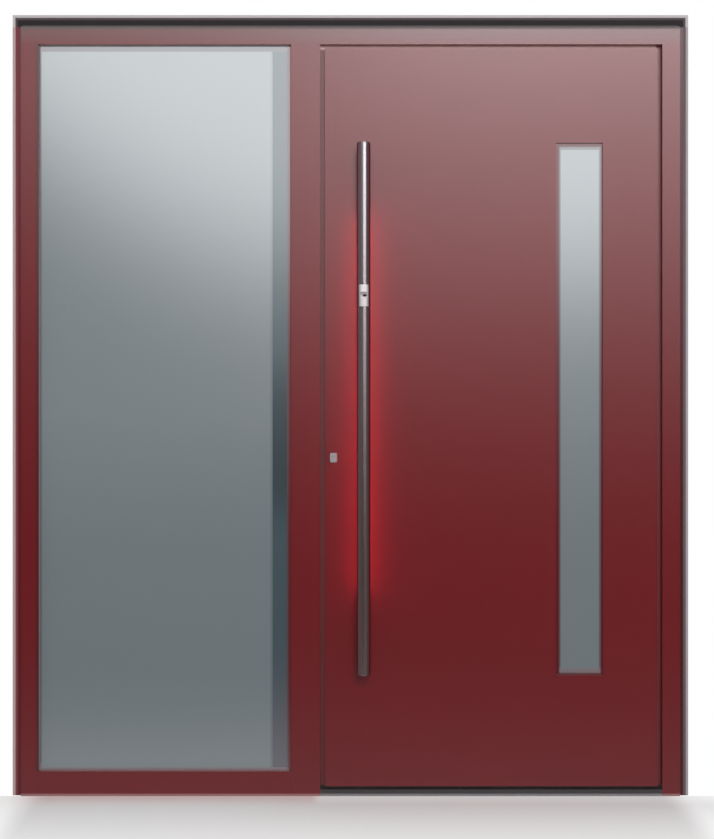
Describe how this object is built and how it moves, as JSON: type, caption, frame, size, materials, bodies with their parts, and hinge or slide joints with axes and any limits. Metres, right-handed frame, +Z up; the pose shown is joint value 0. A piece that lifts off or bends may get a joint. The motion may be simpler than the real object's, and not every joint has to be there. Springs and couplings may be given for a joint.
{
  "type": "aluminium entrance door with side light",
  "caption": "Flush aluminium entrance door with a slim window, long illuminated pull bar and fingerprint reader, hung in a frame with a satin glass side light.",
  "frame": {"origin": "on the floor line at the middle of the overall width and of the frame's depth, on the flat underside of the threshold sill", "axes": "+Z up, outside face towards -Y, +X to the right seen from outside"},
  "size_m": [2, 0.2316, 2.31],
  "materials": {
    "frame_red": "powder-coated satin ruby red",
    "leaf_red": "powder-coated satin ruby red",
    "hinge_red": "powder-coated satin ruby red",
    "trim_grey": "matt anthracite powder coat",
    "threshold_dark": "dark anodised aluminium with grip ribs",
    "bare_aluminium": "mill-finished extrusion",
    "clear_glass": "clear float glass",
    "satin_glass": "acid-etched satin glass",
    "spacer_grey": "warm-edge spacer bar",
    "black_rubber": "extruded EPDM gasket",
    "block_plastic": "moulded setting block",
    "core_foam": "rigid insulating foam board",
    "stainless": "finely brushed stainless steel",
    "nickel": "nickel-plated brass",
    "light_diffuser": "translucent diffuser over a light strip",
    "reader_silver": "silver-painted moulded housing",
    "sensor_black": "black glassy sensor window"
  },
  "bodies": {
    "frame": {"frame_head": "frame_red", "frame_jamb_left": "frame_red", "frame_jamb_right": "frame_red", "frame_mullion": "frame_red", "frame_bottom_rail": "frame_red", "sidelight_beads": "frame_red", "joint_trim_head": "trim_grey", "joint_trim_left": "trim_grey", "joint_trim_right": "trim_grey", "threshold_profile": "threshold_dark", "threshold_sill": "bare_aluminium", "sidelight_outer_pane": "satin_glass", "sidelight_middle_pane": "clear_glass", "sidelight_inner_pane": "clear_glass", "sidelight_spacers": "spacer_grey", "sidelight_gaskets": "black_rubber", "door_rebate_seal": "black_rubber", "sidelight_setting_blocks": "block_plastic", "strike_plate": "stainless", "hinge_frame_halves": "hinge_red", "hinge_pins": "stainless"},
    "door": {"leaf_outer_skin": "leaf_red", "leaf_inner_skin": "leaf_red", "leaf_stile_lock": "leaf_red", "leaf_stile_hinge": "leaf_red", "leaf_rail_top": "leaf_red", "leaf_rail_bottom": "leaf_red", "window_lining": "leaf_red", "window_outer_pane": "satin_glass", "window_inner_pane": "clear_glass", "window_spacer": "spacer_grey", "window_gaskets": "black_rubber", "leaf_core": "core_foam", "pull_bar": "stainless", "pull_bar_caps": "stainless", "pull_bar_posts": "stainless", "pull_bar_light": "light_diffuser", "fingerprint_reader": "reader_silver", "fingerprint_sensor": "sensor_black", "inside_handle_plate": "stainless", "inside_handle_lever": "stainless", "mortise_lock": "stainless", "lock_rosette": "stainless", "lock_cylinder": "nickel", "hinge_leaf_halves": "hinge_red"}
  },
  "joints": [
    {"name": "door_swing", "type": "hinge", "parent": "frame", "child": "door", "pos_m": [0.946, 0.0555, 0.2], "axis": [0, 0, -1], "range_deg": [0, 95]}
  ]
}
